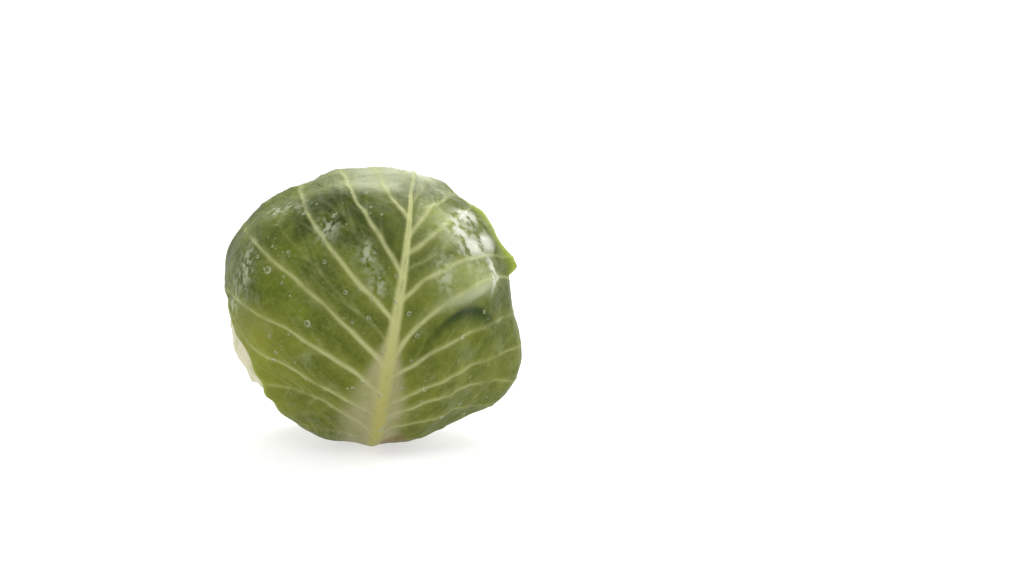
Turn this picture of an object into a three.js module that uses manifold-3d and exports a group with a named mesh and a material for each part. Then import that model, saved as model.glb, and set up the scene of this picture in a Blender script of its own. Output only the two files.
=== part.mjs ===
// A head of green cabbage, standing on its trimmed stalk. Millimetres, +Z up.
// The origin is the centre of the stalk's cut face, and the front of the head faces -Y.
// The head is a stack of layers round one centre: the packed heart, then the wrapper leaves, each
// lying on what is under it. A leaf is laid out in angles round its own middle, in degrees: x to its
// right as it is seen from outside, y up along its midrib. A bearing is an angle from x towards y.
import * as THREE from 'three';
import { mergeVertices } from 'three/addons/utils/BufferGeometryUtils.js';
import Module from 'manifold-3d';

const wasm = await Module();
wasm.setup();

// The whole head
const HEAD_RADIUS = 85.5;      // half the width, at the widest level
const LEAN = 0.030;            // share by which the left side stands out further than the right
const HEAD_DEPTH_SHARE = 0.97; // depth over width
const CROWN_RISE = 68.0;       // from the widest level up to the crown
const BASE_DROP = 88.0;        // from the widest level down to the cut face
const FULLNESS = 2.2;          // exponent of the outline: 2 is an ellipse
// Where the head is fuller or slimmer than that: [azimuth, elevation, angle across, height]
const SWELLINGS = [
  [-8, -31, 18, 9.0], [-10, -57, 14, -3.0], [2, -4, 22, -3.8], [0, 22, 20, -5.0], [-50, -12, 12, -3.5],
  [-178, -47, 15, -15.0], [-165, -55, 18, -7.5], [178, -16, 16, -3.0], [150, 60, 16, 1.0],
  [-10, 66, 15, 3.5], [170, 78, 14, 1.5],
];
const CROWN_FROM = 0.72;       // sine of the elevation at which the crown begins
const CROWN_SPAN = 0.2;        // and the span over which it does

// The stalk
const STALK_RADIUS = 16.5;     // at the cut face
const STALK_NECK = 14.5;       // radius where it enters the heart
const NECK_DEPTH = 2.0;        // of the neck, inside the heart
const CUT_EDGE = 0.8;          // chamfer round the cut face
const CORE_RADIUS = 11.0;      // radius of the core, half way up it
const CORE_TAPER = 0.66;       // share of that left near its tip
const CORE_TOP = 84.0;         // height of the core's tip
const CORE_GAP = 0.4;          // between the core and the heart round it
const SOCKET_RUN_OUT = 3.2;    // of the heart's socket, past the cut face
const STALK_SIDES = 24;

// The layers
const AIR = 0.5;               // gap between a leaf and what it lies on
const BLADE = 1.0;             // thickness of a leaf between its veins
const RELIEF = 2.1;            // room for the veins of a leaf under the next one
const MARGIN_BLADE = 0.75;     // thickness at its edge
const VEIN_ROOT = 1.8;         // height of a side vein beside the midrib
const VEIN_END = 0.6;          // and near the edge
const CROWN_VEINS = 0.45;      // share of that height left on the crown
const PUFF = 0.4;              // bulge of the blade between two side veins
const COVER_MARGIN = 5;        // angle past a leaf's edge at which the next one starts to step down
const DRAPE = 14;              // angle over which it steps down
const STALK_GAP = 0.9;         // between the stalk and the leaf bases
const FOOT_CLEARANCE = 0.4;    // least height of the trimmed leaf bases above the surface
const FOOT_RISE = 2.6;         // height of the front leaf's base beside its rib
const COLLAR = { full: 15, fade: 24 };          // angles from straight down over which it closes in

// The heart
const HEART_INSET = 3.6;                        // depth of it under the innermost wrapper leaf
const UNDER_LEAVES = { margin: -20, fade: 50 }; // how it thickens past the edges of the leaves
const BASE_CROWDING = 9.5;                      // room for the crowded leaf bases round the stalk
const CROWDING = { from: 0.8, span: 0.18 };     // where that is, as the sine of the angle below level
const HEART_FINENESS = 7;
// The edges of its outer leaves, in relief: each reaches that angle round a pole of its own
const HEART_EDGES = { count: 3, start: 20, turn: 137, elevation: 45, reach: 62, fade: 7, height: 0.7 };

// The midrib and the edge
const RIB_TIP_SHARE = 0.16;    // of the rib's height and width, at the tip
const RIB_TOP = 80;            // y at which the rib has become fine
const RIB_LENGTH = 164;        // angle over which it does
const RIB_TAPER = 2.2;
const RIB_LEAST_WIDTH = 1.2;
const RIB_ROUNDNESS = 1.2;
const RIB_ROOM = { extra: 0.4, across: 1.3, margin: 12 };
const MIDRIB_TOP = 72;         // y above which the midrib has no more side veins
const VEIN_BOW = 0.09;         // bend of a plain side vein, as a share of its length
const FLUTTER_SHARPNESS = 9;   // how close to the edge the flutter stays
const FLUTTER_PACE = 0.6;      // its waves for each notch of the edge
const OPEN = { margin: 3, fade: 12 };           // how far from an outer leaf an edge starts to flutter

// Folds of the front leaf, raised off what it lies on: places in its own angles, heights in millimetres
const RIDGE = { height: 6.0, x: 45, y: 4, slope: 0.35, length: 17, above: 12, below: 4 };
const LIP = { height: 3.0, width: 6, from: 7, rise: 4, to: 36, fall: 14 };
const LIP_TIP = { height: 4.5, bearing: 13, spread: 5 };
const LOBE = { height: 2.0, away: 88, width: 24, bearing: -20, spread: 15 };
const CREASE = { height: 2.0, x: -49, right: 15, left: 4, y: -32, length: 22 };
// Two lobes low on the right side of the leaf behind it
const BULGES = [{ bearing: -25, height: 2.0 }, { bearing: -43, height: 8.0 }];
const BULGE = { away: 65, width: 9, spread: 6.5 };

const RAD = Math.PI / 180;
const clamp = (v, lo, hi) => Math.min(hi, Math.max(lo, v));
const mix = (a, b, t) => a + (b - a) * t;
const bell = (v) => Math.exp(-v * v);
const ease = (v) => {
  const t = clamp(v, 0, 1);
  return t * t * (3 - 2 * t);
};

function towards(azimuth, elevation) {
  const [a, e] = [azimuth * RAD, elevation * RAD];
  return new THREE.Vector3(Math.cos(a) * Math.cos(e), Math.sin(a) * Math.cos(e), Math.sin(e));
}
const angleBetween = (a, b) => Math.acos(clamp(a.dot(b), -1, 1)) / RAD;
const STRAIGHT_DOWN = towards(0, -90);

// Reads a smooth curve through [at, value] pairs, in rising order of at.
function along(pairs, at) {
  let i = 1;
  while (i < pairs.length - 1 && pairs[i][0] < at) i++;
  const [[a, va], [b, vb]] = [pairs[i - 1], pairs[i]];
  return mix(va, vb, ease((at - a) / (b - a)));
}

// A wrapper leaf. Each lies over all that follow it in this list.
// right and left, its outline: [bearing, reach] pairs, the angle from the leaf's middle to its edge.
// Veins: [y where it leaves the midrib, bearing of its end, bow], from the base up, on each side.
const PLAIN_RIGHT = [[-96, 84], [-60, 84], [-30, 84], [0, 84], [45, 86], [90, 90]];
const PLAIN_LEFT = [[90, 90], [135, 86], [180, 84], [210, 84], [240, 84], [276, 84]];

// Side veins fanned out evenly from base to tip, as on a plain leaf.
function evenVeins(count, lowest, highest) {
  const [baseY, topY] = [-60, 50];
  const veins = [];
  for (let i = 0; i < count; i++) {
    const t = i / (count - 1);
    const y = mix(baseY, topY, Math.pow(t, 1.25));
    veins.push([y, mix(lowest, highest, Math.pow(t, 0.85)), VEIN_BOW]);
  }
  return veins;
}

const leaves = [
  {
    name: 'front_leaf', azimuth: -90, elevation: 5, colour: 0x66793a,
    midrib: [10, 0.17, 0.0004], tip: 72, ribHeight: 6.0, ribWidth: 12.0, baseArc: 96,
    right: [[-96, 84], [-70, 84], [-45, 88], [-15, 94], [3, 88], [8, 77], [12, 81], [32, 81], [48, 88],
      [72, 112]],
    left: [[72, 112], [110, 110], [150, 104], [168, 97], [176, 86], [182, 73], [194, 65], [207, 56],
      [216, 57], [224, 61], [236, 71], [250, 80], [276, 84]],
    rightVeins: [[-64, -62, 0.1], [-55, -43, 0.1], [-48, -30, 0.15], [-42, -17, 0.1], [-30, -7, 0.15],
      [-22, 7, 0.3], [2, 15, 0.2], [12, 28, 0.1], [20, 41, 0], [27, 50, 0.1], [46, 61, 0.05]],
    leftVeins: [[-66, 238, 0.1], [-60, 216, 0.2], [-49, 190, 0.05], [-37, 177, 0.15], [-25, 153, 0.1],
      [-16, 138, 0], [-7, 122, -0.1], [3, 114, -0.05], [11, 106, -0.05], [36, 91, -0.1], [56, 81, -0.05]],
    waves: 1.2, waveCount: 23, flutter: 0.5, rows: [0, 0.17, 0.5, 0.83], columns: 8,
  },
  {
    name: 'back_left_leaf', azimuth: 132, elevation: 4, colour: 0x7d8f48,
    midrib: [-3, -0.06, 0.0003], tip: 93, ribHeight: 5.0, ribWidth: 10.0, baseArc: 66,
    right: [[-96, 84], [-66, 82], [-30, 86], [0, 86], [45, 90], [93, 102]],
    left: [[93, 102], [140, 90], [180, 82], [215, 80], [245, 78], [276, 84]],
    rightVeins: evenVeins(7, -62, 72),
    leftVeins: evenVeins(7, 242, 112),
    waves: 1.6, waveCount: 19, flutter: 1.6, rows: [0, 0.19, 0.5, 0.81], columns: 7,
  },
  {
    name: 'right_leaf', azimuth: -2, elevation: 3, colour: 0x7f9149,
    midrib: [2, 0.05, 0.0002], tip: 86, ribHeight: 4.6, ribWidth: 9.5, baseArc: 64,
    right: [[-96, 84], [-60, 78], [-30, 80], [0, 84], [45, 90], [86, 98]],
    left: [[86, 98], [135, 88], [180, 80], [215, 80], [245, 80], [276, 84]],
    rightVeins: evenVeins(7, -60, 66),
    leftVeins: evenVeins(7, 240, 106),
    waves: 1.6, waveCount: 21, flutter: 1.6, rows: [0, 0.19, 0.5, 0.81], columns: 7,
  },
  {
    name: 'front_left_leaf', azimuth: -143, elevation: 2, colour: 0xa3ad68,
    midrib: [0, 0.04, 0], tip: 90, ribHeight: 3.6, ribWidth: 9.0, baseArc: 58,
    right: PLAIN_RIGHT, left: PLAIN_LEFT,
    rightVeins: evenVeins(6, -58, 74), leftVeins: evenVeins(6, 238, 106),
    waves: 1.0, waveCount: 17, flutter: 1.2, rows: [0, 0.24, 0.76], columns: 6,
  },
  {
    name: 'back_leaf', azimuth: 78, elevation: 2, colour: 0xa9b370,
    midrib: [0, -0.04, 0], tip: 90, ribHeight: 3.4, ribWidth: 9.0, baseArc: 58,
    right: PLAIN_RIGHT, left: PLAIN_LEFT,
    rightVeins: evenVeins(6, -58, 74), leftVeins: evenVeins(6, 238, 106),
    waves: 1.0, waveCount: 17, flutter: 1.2, rows: [0, 0.24, 0.76], columns: 6,
  },
];
const [FRONT_LEAF, BACK_LEFT_LEAF] = [0, 1];

// The finished head's surface: its distance from the centre in a direction.
function headSurface(d) {
  const out = Math.hypot(d.x / HEAD_RADIUS, d.y / (HEAD_RADIUS * HEAD_DEPTH_SHARE));
  const up = Math.abs(d.z) / (d.z > 0 ? CROWN_RISE : BASE_DROP);
  const round = Math.pow(Math.pow(out, FULLNESS) + Math.pow(up, FULLNESS), -1 / FULLNESS);
  let swell = 0;
  for (const [azimuth, elevation, across, height] of SWELLINGS) {
    swell += height * bell(angleBetween(d, towards(azimuth, elevation)) / across);
  }
  return round * (1 - LEAN * d.x) + swell;
}

// Gives a leaf the three directions of its own frame.
for (const leaf of leaves) {
  leaf.middle = towards(leaf.azimuth, leaf.elevation);
  leaf.across = towards(leaf.azimuth + 90, 0);
  leaf.up = new THREE.Vector3().crossVectors(leaf.middle, leaf.across);
}

function directionOf(leaf, x, y) {
  const away = Math.hypot(x, y);
  const turn = away * RAD;
  const side = away < 1e-6 ? 0 : Math.sin(turn) / away;
  return leaf.middle.clone().multiplyScalar(Math.cos(turn))
    .addScaledVector(leaf.across, side * x)
    .addScaledVector(leaf.up, side * y);
}

function anglesOf(leaf, d) {
  const away = angleBetween(d, leaf.middle);
  const x = d.dot(leaf.across);
  const y = d.dot(leaf.up);
  const level = Math.max(Math.hypot(x, y), 1e-9);
  return { x: away * x / level, y: away * y / level, away };
}

// A bearing, kept between straight down on the right and straight down on the left.
function bearingOf(x, y) {
  const b = Math.atan2(y, x) / RAD;
  return b < -90 ? b + 360 : b;
}

function reachOf(leaf, bearing) {
  return bearing < leaf.tip ? along(leaf.right, bearing) : along(leaf.left, bearing);
}

const midribX = (leaf, y) => leaf.midrib[0] + y * (leaf.midrib[1] + y * leaf.midrib[2]);
// The rib is broad and high at the base and fine at the tip.
const ribShare = (y) => mix(RIB_TIP_SHARE, 1, Math.pow(clamp((RIB_TOP - y) / RIB_LENGTH, 0, 1), RIB_TAPER));
const ribHeightAt = (leaf, y) => leaf.ribHeight * ribShare(y);
const ribWidthAt = (leaf, y) => leaf.ribWidth * ribShare(y) + RIB_LEAST_WIDTH;
const MM_PER_DEGREE = HEAD_RADIUS * RAD;

// How far a leaf covers a direction: 1 on it, falling to 0 over an angle outside its edge.
function cover(leaf, d, margin, fade) {
  const at = anglesOf(leaf, d);
  const over = at.away - reachOf(leaf, bearingOf(at.x, at.y)) - margin;
  return 1 - ease(over / fade);
}

// The room that a leaf takes up under the next one.
function room(leaf, d) {
  const covers = cover(leaf, d, COVER_MARGIN, DRAPE);
  if (covers <= 0) return 0;
  const at = anglesOf(leaf, d);
  const off = Math.abs(at.x - midribX(leaf, at.y)) * MM_PER_DEGREE;
  const across = RIB_ROOM.across * ribWidthAt(leaf, at.y) + RIB_ROOM.margin;
  const rib = (ribHeightAt(leaf, at.y) + RIB_ROOM.extra) * bell(off / across);
  return covers * (AIR + BLADE + RELIEF + rib);
}

// Where the heart ends, so that the whole stack comes out at the head's surface.
function heartSurface(d) {
  let depth = 0;
  for (const leaf of leaves) {
    depth += (AIR + BLADE + RELIEF) * cover(leaf, d, UNDER_LEAVES.margin, UNDER_LEAVES.fade);
  }
  return headSurface(d) - depth - BASE_CROWDING * ease((-d.z - CROWDING.from) / CROWDING.span);
}

// The surface that leaf number k lies on.
function seat(k, d) {
  let r = heartSurface(d) + AIR;
  for (let j = leaves.length - 1; j > k; j--) r += room(leaves[j], d);
  return r;
}

// The direction in which leaf number k meets the stalk, at an azimuth.
function besideStalk(k, azimuth) {
  const [c, s] = [Math.cos(azimuth * RAD), Math.sin(azimuth * RAD)];
  const passes = 6;
  let turn = 0.2; // a first guess, which each pass betters
  const d = new THREE.Vector3();
  for (let pass = 0; pass < passes; pass++) {
    d.set(Math.sin(turn) * c, Math.sin(turn) * s, -Math.cos(turn));
    turn = Math.asin((STALK_RADIUS + STALK_GAP) / seat(k, d));
  }
  return d;
}

// 1 where no outer leaf is near, 0 under or close to one.
function openness(k, d) {
  let open = 1;
  for (let j = 0; j < k; j++) open *= 1 - cover(leaves[j], d, OPEN.margin, OPEN.fade);
  return open;
}

// A leaf's own folds, raised off what it lies on. The front leaf has a ridge with a hollow under it and
// a lip at its upper right edge, a fuller lobe below, a crease down its lower left, and it closes
// round the foot. The leaf behind it bulges in two lobes low on its right side.
function folds(k, x, y, d, resting, rib) {
  const away = Math.hypot(x, y);
  const bearing = bearingOf(x, y);
  const inFromEdge = reachOf(leaves[k], bearing) - away;
  if (k === BACK_LEFT_LEAF) {
    let bulge = 0;
    for (const lobe of BULGES) bulge += lobe.height * bell((bearing - lobe.bearing) / BULGE.spread);
    return bulge * bell((away - BULGE.away) / BULGE.width);
  }
  if (k !== FRONT_LEAF) return 0;
  const above = y - RIDGE.y - RIDGE.slope * (x - RIDGE.x);
  const steepness = above > 0 ? RIDGE.above : RIDGE.below;
  const ridge = RIDGE.height * bell(above / steepness) * bell((x - RIDGE.x) / RIDGE.length);
  const tip = LIP_TIP.height * bell((bearing - LIP_TIP.bearing) / LIP_TIP.spread);
  const lip = (LIP.height + tip) * ease(1 - inFromEdge / LIP.width) * ease((bearing - LIP.from) / LIP.rise)
    * (1 - ease((bearing - LIP.to) / LIP.fall));
  const lobe = LOBE.height * bell((away - LOBE.away) / LOBE.width)
    * bell((bearing - LOBE.bearing) / LOBE.spread);
  const sharpness = x > CREASE.x ? CREASE.right : CREASE.left;
  const crease = CREASE.height * bell((x - CREASE.x) / sharpness) * bell((y - CREASE.y) / CREASE.length);
  const aboveFoot = Math.max(BASE_DROP + (resting + BLADE + rib) * d.z - FOOT_RISE, 0);
  const collar = aboveFoot * (1 - ease((angleBetween(d, STRAIGHT_DOWN) - COLLAR.full) / COLLAR.fade));
  return ridge + lip + lobe + crease + collar;
}

// One side of a leaf, as the curves of its side veins with the blade between them.
// Step 0 is the cut base round the stalk, and the last step runs up the midrib's end to the tip.
function veinCurves(k, side) {
  const leaf = leaves[k];
  const veins = side > 0 ? leaf.rightVeins : leaf.leftVeins;
  const curves = [(s) => {
    const at = anglesOf(leaf, besideStalk(k, leaf.azimuth + side * leaf.baseArc * s));
    return [at.x, at.y];
  }];
  const ends = [bearingOf(...curves[0](1))];
  for (const [y, bearing, bow] of veins) {
    const start = [midribX(leaf, y), y];
    const reach = reachOf(leaf, bearing);
    const end = [reach * Math.cos(bearing * RAD), reach * Math.sin(bearing * RAD)];
    const bend = [
      mix(start[0], end[0], 0.5) - side * bow * (end[1] - start[1]),
      mix(start[1], end[1], 0.5) + side * bow * (end[0] - start[0]),
    ];
    curves.push((s) => [0, 1].map((i) =>
      (1 - s) * (1 - s) * start[i] + 2 * s * (1 - s) * bend[i] + s * s * end[i]));
    ends.push(bearing);
  }
  const tipY = reachOf(leaf, leaf.tip) * Math.sin(leaf.tip * RAD);
  const yAt = (s) => mix(MIDRIB_TOP, tipY, s);
  curves.push((s) => [midribX(leaf, yAt(s)), yAt(s)]);
  ends.push(leaf.tip);
  return { curves, ends };
}

// Small notches and waves along a leaf's edge, as an angle.
function edgeWave(leaf, bearing) {
  const turns = leaf.waveCount * bearing * RAD;
  return leaf.waves * (0.55 * Math.sin(turns) + 0.3 * Math.sin(1.7 * turns + 1) - 0.35);
}

// A point of a leaf's layout: step counts side veins from the base, s runs from midrib to edge.
function layout(leaf, fan, step, s) {
  const i = Math.min(Math.floor(step), fan.curves.length - 2);
  const f = step - i;
  const [a, b] = [fan.curves[i](s), fan.curves[i + 1](s)];
  const [endA, endB] = [fan.curves[i](1), fan.curves[i + 1](1)];
  const bearing = mix(fan.ends[i], fan.ends[i + 1], f);
  const atBase = i === 0 ? 1 - f : 0;
  const reach = reachOf(leaf, bearing) + edgeWave(leaf, bearing) * (1 - atBase);
  const edge = [reach * Math.cos(bearing * RAD), reach * Math.sin(bearing * RAD)];
  const share = s * s * (1 - Math.pow(atBase, 3));
  return [0, 1].map((n) => mix(a[n], b[n], f) + share * (edge[n] - mix(endA[n], endB[n], f)));
}

// Where a row's columns stand: at the rib's shoulder and foot, and then evenly to the edge.
function columnShares(leaf, fan, step) {
  const mid = layout(leaf, fan, step, 0);
  const end = layout(leaf, fan, step, 1);
  const span = Math.max(Math.hypot(end[0] - mid[0], (end[1] - mid[1]) * 0.4) * MM_PER_DEGREE, 1);
  const [leastFoot, mostFoot] = [0.05, 0.3];
  const foot = clamp(ribWidthAt(leaf, mid[1]) / span, leastFoot, mostFoot);
  const shares = [foot * 0.5, foot];
  for (let j = 1; j <= leaf.columns; j++) shares.push(mix(foot, 1, j / leaf.columns));
  return shares;
}

// How high the midrib stands over the blade, and how high a side vein or the blade between two does.
function ribRise(leaf, x, y) {
  const off = Math.abs(x - midribX(leaf, y)) * MM_PER_DEGREE / ribWidthAt(leaf, y);
  return off >= 1 ? 0 : ribHeightAt(leaf, y) * Math.pow(Math.cos(off * Math.PI / 2), RIB_ROUNDNESS);
}
function veinRise(step, s) {
  const between = step - Math.floor(step);
  if (between === 0) return mix(VEIN_ROOT, VEIN_END, s);
  return between === 0.5 ? PUFF * Math.sin(Math.PI * Math.min(s * 1.05, 1)) : 0;
}

// A leaf as one thin closed shell, its rows running along the side veins.
function leafGeometry(k) {
  const leaf = leaves[k];
  const intervals = leaf.rightVeins.length + 1;
  const steps = [];
  for (let i = 0; i < intervals; i++) leaf.rows.forEach((f) => steps.push(i + f));
  steps.push(intervals);
  const outer = [];
  const inner = [];

  function addPoint([x, y], rise, s) {
    const d = directionOf(leaf, x, y);
    const rib = ribRise(leaf, x, y);
    const vein = rise * mix(1, CROWN_VEINS, ease((d.z - CROWN_FROM) / CROWN_SPAN));
    const turns = leaf.waveCount * FLUTTER_PACE * bearingOf(x, y) * RAD;
    const flutter = leaf.flutter * Math.pow(s, FLUTTER_SHARPNESS) * openness(k, d) * (1 + Math.sin(turns));
    const resting = seat(k, d);
    const low = resting + folds(k, x, y, d, resting, rib) + flutter;
    const thickness = mix(BLADE, MARGIN_BLADE, s * s) + Math.max(rib, vein);
    for (const [list, r] of [[inner, low], [outer, low + thickness]]) {
      const p = d.clone().multiplyScalar(r);
      list.push(p.x, p.y, Math.max(p.z + BASE_DROP, FOOT_CLEARANCE));
    }
    return outer.length / 3 - 1;
  }

  const fans = [veinCurves(k, 1), veinCurves(k, -1)];
  const grid = steps.map((step, row) => {
    const last = row === steps.length - 1;
    const starts = fans.map((fan) => layout(leaf, fan, step, 0));
    const y = (starts[0][1] + starts[1][1]) / 2;
    const crest = addPoint(row === 0 ? starts[0] : [midribX(leaf, y), y], 0, 0);
    const riseAt = (s) => (row === 0 || last ? 0 : veinRise(step, s));
    const half = (fan) => columnShares(leaf, fan, step)
      .map((s) => addPoint(layout(leaf, fan, step, s), riseAt(s), s));
    const right = half(fans[0]);
    const left = last ? right : half(fans[1]);
    return [[crest, ...right], [crest, ...left]];
  });

  const count = outer.length / 3;
  const faces = [];
  // Both faces are split along the same diagonal, and the inner one is turned over.
  function quad(a, b, c, d) {
    faces.push(a, b, c, a, c, d);
    faces.push(count + a, count + c, count + b, count + a, count + d, count + c);
  }
  function rim(a, b) {
    faces.push(a, count + a, b, b, count + a, count + b);
  }
  const columns = grid[0][0].length - 1;
  for (let row = 0; row + 1 < grid.length; row++) {
    const [[right0, left0], [right1, left1]] = [grid[row], grid[row + 1]];
    for (let j = 0; j < columns; j++) {
      quad(right0[j], right0[j + 1], right1[j + 1], right1[j]);
      quad(left0[j + 1], left0[j], left1[j], left1[j + 1]);
    }
    rim(right0[columns], right1[columns]);
    rim(left1[columns], left0[columns]);
  }
  const [baseRight, baseLeft] = grid[0];
  for (let j = 0; j < columns; j++) {
    rim(baseRight[j], baseRight[j + 1]);
    rim(baseLeft[j + 1], baseLeft[j]);
  }
  const geometry = new THREE.BufferGeometry();
  geometry.setAttribute('position', new THREE.Float32BufferAttribute([...outer, ...inner], 3));
  geometry.setIndex(faces);
  return geometry;
}

// The stalk and the core that it becomes inside the head, turned about its axis. The same shape, grown
// by a gap and run out below, cuts the heart's socket.
function stalkGeometry(gap = 0) {
  const bottom = gap > 0 ? -SOCKET_RUN_OUT : 0;
  const heartBase = BASE_DROP - heartSurface(STRAIGHT_DOWN);
  const neck = heartBase + NECK_DEPTH;
  const upCore = (share) => mix(neck, CORE_TOP, share);
  const profile = [
    [0, bottom],
    [STALK_RADIUS - CUT_EDGE + gap, bottom],
    [STALK_RADIUS + gap, CUT_EDGE],
    [STALK_RADIUS + gap, neck * 0.5],
    [STALK_NECK + gap, neck + gap],
    [mix(STALK_NECK, CORE_RADIUS, 0.6) + gap, upCore(0.3)],
    [CORE_RADIUS + gap, upCore(0.6)],
    [CORE_RADIUS * CORE_TAPER + gap, upCore(0.88)],
    [0, CORE_TOP + 2 * gap],
  ];
  const points = profile.map(([r, z]) => new THREE.Vector2(r, z));
  return new THREE.LatheGeometry(points, STALK_SIDES).rotateX(Math.PI / 2);
}

// The tight heart: its leaves are packed to one mass, with the edges of the outer ones in relief.
function heartGeometry() {
  const geometry = new THREE.IcosahedronGeometry(1, HEART_FINENESS);
  const position = geometry.getAttribute('position');
  const { count, start, turn, elevation, reach, fade, height } = HEART_EDGES;
  const poles = [];
  for (let n = 0; n < count; n++) poles.push(towards(start + n * turn, elevation));
  const d = new THREE.Vector3();
  for (let i = 0; i < position.count; i++) {
    d.fromBufferAttribute(position, i).normalize();
    let relief = 0;
    for (const pole of poles) relief += height * (1 - ease((angleBetween(d, pole) - reach) / fade));
    const r = heartSurface(d) - HEART_INSET + relief;
    position.setXYZ(i, d.x * r, d.y * r, d.z * r + BASE_DROP);
  }
  return geometry;
}

function solidFrom(geometry) {
  const bare = geometry.clone();
  bare.deleteAttribute('normal');
  bare.deleteAttribute('uv');
  const merged = mergeVertices(bare, 1e-4);
  return new wasm.Manifold(new wasm.Mesh({
    numProp: 3,
    vertProperties: new Float32Array(merged.attributes.position.array),
    triVerts: new Uint32Array(merged.index.array),
  }));
}

function geometryFrom(solid) {
  const mesh = solid.getMesh();
  const points = [];
  for (let i = 0; i < mesh.numVert; i++) {
    points.push(...mesh.vertProperties.subarray(i * mesh.numProp, i * mesh.numProp + 3));
  }
  const geometry = new THREE.BufferGeometry();
  geometry.setAttribute('position', new THREE.Float32BufferAttribute(points, 3));
  geometry.setIndex(Array.from(mesh.triVerts));
  return geometry;
}

function piece(name, geometry, colour, roughness) {
  const material = new THREE.MeshStandardMaterial({ color: colour, roughness, metalness: 0 });
  const mesh = new THREE.Mesh(geometry, material);
  mesh.name = name;
  return mesh;
}

const head = new THREE.Group();
leaves.forEach((leaf, k) => head.add(piece(leaf.name, leafGeometry(k), leaf.colour, 0.45)));
const socket = solidFrom(stalkGeometry(CORE_GAP));
head.add(piece('heart', geometryFrom(solidFrom(heartGeometry()).subtract(socket)), 0xd5d7a6, 0.5));
head.add(piece('stalk', stalkGeometry(), 0xdcd6b4, 0.6));

export default head;
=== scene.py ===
"""A head of green cabbage on its trimmed stalk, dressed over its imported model.

The forms are worked out in millimetres round the head's centre, as the solids are, and turned to
metres when a mesh is made. A leaf is laid out in angles round its own middle, in degrees: x to its
right as seen from outside, y up along its midrib. A bearing is an angle from x towards y.
"""
import math

import bpy
import numpy as np
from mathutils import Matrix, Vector, noise
from mathutils.bvhtree import BVHTree


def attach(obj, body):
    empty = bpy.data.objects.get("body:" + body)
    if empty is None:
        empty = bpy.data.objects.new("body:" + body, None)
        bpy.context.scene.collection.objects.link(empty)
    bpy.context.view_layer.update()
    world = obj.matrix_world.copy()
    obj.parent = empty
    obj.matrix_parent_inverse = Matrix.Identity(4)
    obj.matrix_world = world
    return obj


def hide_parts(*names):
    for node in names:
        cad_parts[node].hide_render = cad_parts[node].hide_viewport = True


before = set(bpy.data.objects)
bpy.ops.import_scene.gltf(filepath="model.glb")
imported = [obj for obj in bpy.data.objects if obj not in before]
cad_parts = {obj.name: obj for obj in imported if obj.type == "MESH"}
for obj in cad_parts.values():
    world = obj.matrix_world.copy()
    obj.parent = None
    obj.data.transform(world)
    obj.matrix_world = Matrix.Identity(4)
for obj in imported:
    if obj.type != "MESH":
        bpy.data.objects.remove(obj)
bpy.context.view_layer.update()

MM = 0.001

# The whole head, as in the solids
HEAD_RADIUS = 85.5
LEAN = 0.030
HEAD_DEPTH_SHARE = 0.97
CROWN_RISE = 68.0
BASE_DROP = 88.0
FULLNESS = 2.2
# Where the head is fuller or slimmer: azimuth, elevation, angle across, height
SWELLINGS = [
    (-8, -31, 18, 9.0), (-10, -57, 14, -3.0), (2, -4, 22, -3.8), (0, 22, 20, -5.0), (-50, -12, 12, -3.5),
    (-178, -47, 15, -15.0), (-165, -55, 18, -7.5), (178, -16, 16, -3.0), (150, 60, 16, 1.0),
    (-10, 66, 15, 3.5), (170, 78, 14, 1.5),
]
# The crown, by the height of a direction from the head's centre, where 1 is straight up
CROWN_FROM = 0.72
CROWN_SPAN = 0.2
# The stalk and the core it runs up into
STALK_RADIUS = 16.5
STALK_NECK = 14.5
CORE_RADIUS = 11.0
CORE_TOP = 84.0
# The air between two leaves, the thickness of a blade and of its edge, and the room for its relief
AIR = 0.5
BLADE = 1.0
MARGIN_BLADE = 0.75
RELIEF = 2.1
# How high side veins stand up at their root and end, how much of that is left over the crown, and how
# far the blade swells between them
VEIN_ROOT = 1.8
VEIN_END = 0.6
CROWN_VEINS = 0.45
PUFF = 0.4
# How far the room for a leaf reaches past its edge, and over what angle it ends, in degrees
COVER_MARGIN = 5
DRAPE = 14
HEART_INSET = 3.6
# At the stalk: the gap round it, and the height of the leaves' undersides over the floor
STALK_GAP = 0.9
FOOT_CLEARANCE = 0.4
FOOT_RISE = 2.6
# How much the leaves crowd together at the base, and where
BASE_CROWDING = 9.5
CROWDED_FROM = 0.8
CROWDED_SPAN = 0.18
# The bow of evenly fanned veins, as a share of their length
VEIN_BOW = 0.09
# The width of a midrib beyond its own, and y where its last side vein ends and the tip begins
RIB_LEAST = 1.2
TIP_FROM = 72
# The midrib's crest: half its width at the top and at the base, y where it begins to widen and over
# what length it does, and how much it shows in the midrib's shape
CREST = dict(top=1.2, base=3.4, y=60, length=110, share=0.45)
MM_PER_DEGREE = math.radians(HEAD_RADIUS)

# Folds of the front leaf, and lobes of the one behind it, as in the solids
RIDGE = dict(height=6.0, x=45, y=4, slope=0.35, length=17, above=12, below=4)
LIP = dict(height=3.0, width=6, start=7, rise=4, end=36, fall=14)
LIP_TIP = dict(height=4.5, bearing=13, spread=5)
LOBE = dict(height=2.0, away=88, width=24, bearing=-20, spread=15)
CREASE = dict(height=2.0, x=-49, right=15, left=4, y=-32, length=22)
COLLAR = dict(full=15, fade=24)
BULGES = [(-25, 2.0), (-43, 8.0)]
BULGE = dict(away=65, width=9, spread=6.5)

# What every leaf's points are marked with, for its material
LEAF_MARKS = ("rib", "vein", "glow", "twig", "rise", "rim_share", "crown", "bleached")
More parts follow.
